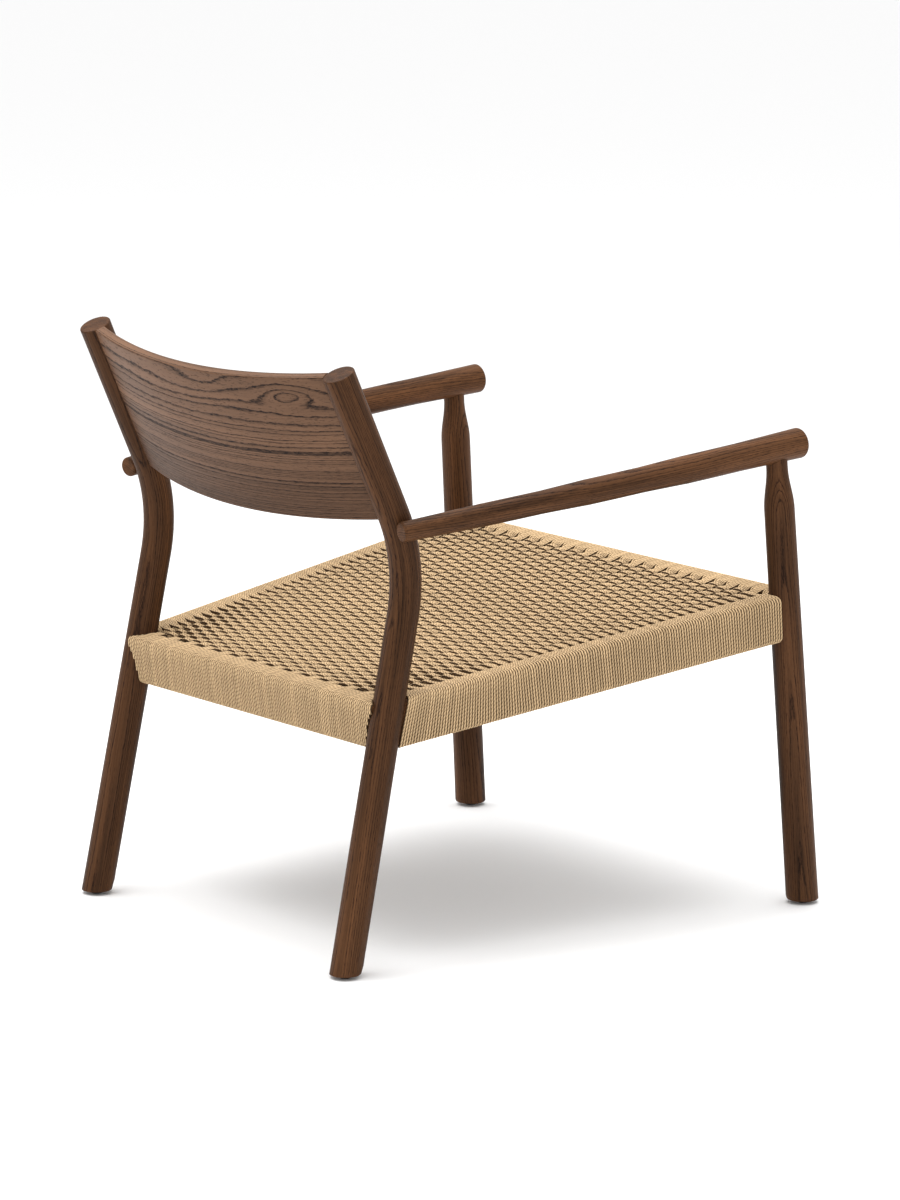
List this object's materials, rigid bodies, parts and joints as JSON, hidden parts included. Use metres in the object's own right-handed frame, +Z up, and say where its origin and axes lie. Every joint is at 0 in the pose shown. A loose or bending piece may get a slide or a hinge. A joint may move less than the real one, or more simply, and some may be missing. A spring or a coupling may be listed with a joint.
{
  "type": "low armchair",
  "caption": "Low wooden armchair with a curved slatless back panel, round tapered arms and a woven paper-cord seat that slopes backwards.",
  "frame": {"origin": "centre of the chair's footprint on the floor", "axes": "+Z up; the chair faces -Y, so the sitter's left is +X"},
  "size_m": [0.697, 0.7181, 0.7255],
  "materials": {
    "frame_wood": "dark walnut stain on open-grained ash, satin",
    "panel_wood": "dark walnut stain on ash face veneer, satin",
    "rail_wood": "planed beech, unfinished under the cord",
    "paper_cord": "natural three-ply twisted paper cord, matt",
    "nail_steel": "galvanised wire, dull",
    "glide_plastic": "black polyethylene, matt",
    "dowel_wood": "beech dowel, plain"
  },
  "bodies": {
    "root": {"rear_leg_left": "frame_wood", "rear_leg_right": "frame_wood", "front_leg_left": "frame_wood", "front_leg_right": "frame_wood", "armrest_left": "frame_wood", "armrest_right": "frame_wood", "back_panel": "panel_wood", "seat_rail_front": "rail_wood", "seat_rail_rear": "rail_wood", "seat_rail_left": "rail_wood", "seat_rail_right": "rail_wood", "cord_wrap_front": "paper_cord", "cord_wrap_rear": "paper_cord", "cord_wrap_left": "paper_cord", "cord_wrap_right": "paper_cord", "seat_weave": "paper_cord", "cord_nails_front": "nail_steel", "cord_nails_rear": "nail_steel", "cord_nails_left": "nail_steel", "cord_nails_right": "nail_steel", "glide_front_left": "glide_plastic", "glide_front_right": "glide_plastic", "glide_rear_left": "glide_plastic", "glide_rear_right": "glide_plastic", "glide_pins": "nail_steel", "arm_dowels": "dowel_wood"}
  },
  "joints": []
}
